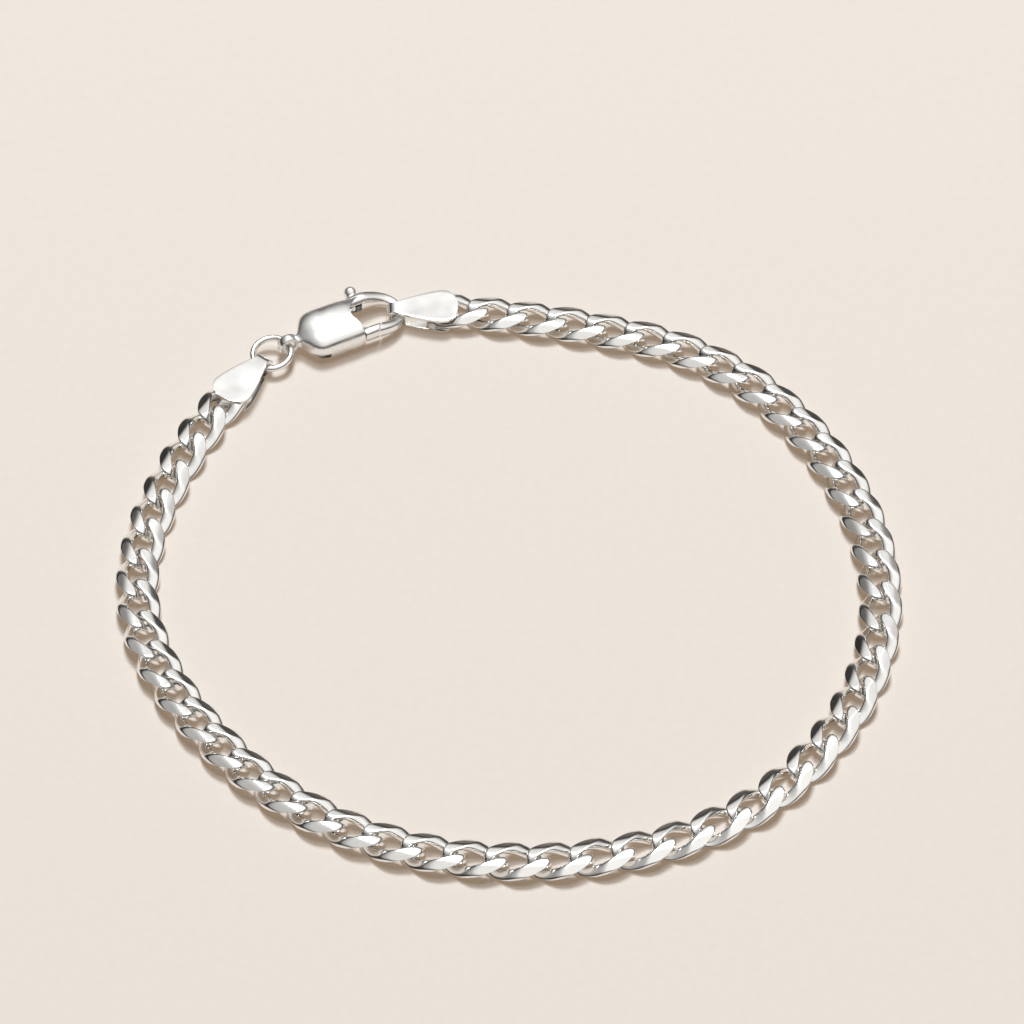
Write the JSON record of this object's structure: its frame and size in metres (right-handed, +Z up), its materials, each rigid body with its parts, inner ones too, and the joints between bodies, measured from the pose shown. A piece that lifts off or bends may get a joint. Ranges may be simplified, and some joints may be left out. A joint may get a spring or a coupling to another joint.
{
  "type": "link bracelet",
  "caption": "Closed bracelet of flat cut curb links in polished silver metal, with folded end tags, a jump ring and a lobster clasp that opens by its lever.",
  "frame": {"origin": "middle of the closed loop's footprint, on the table that it lies on", "axes": "+X to the right in the picture, +Y away from the camera, +Z up"},
  "size_m": [0.0644, 0.063, 0.0024],
  "materials": {
    "silver": "polished sterling silver with fine scratches"
  },
  "bodies": {
    "bracelet": {"chain": "silver", "end_tag_left": "silver", "end_tag_right": "silver", "jump_ring": "silver", "clasp_body": "silver"},
    "lever": {"clasp_lever": "silver"}
  },
  "joints": [
    {"name": "lever_pivot", "type": "hinge", "parent": "bracelet", "child": "lever", "pos_m": [-0.01421, 0.02677, 0.0012], "axis": [0, 0, 1], "range_deg": [0, 22], "stiffness_Nm_per_rad": 0.0002, "springref_deg": -17.19}
  ]
}
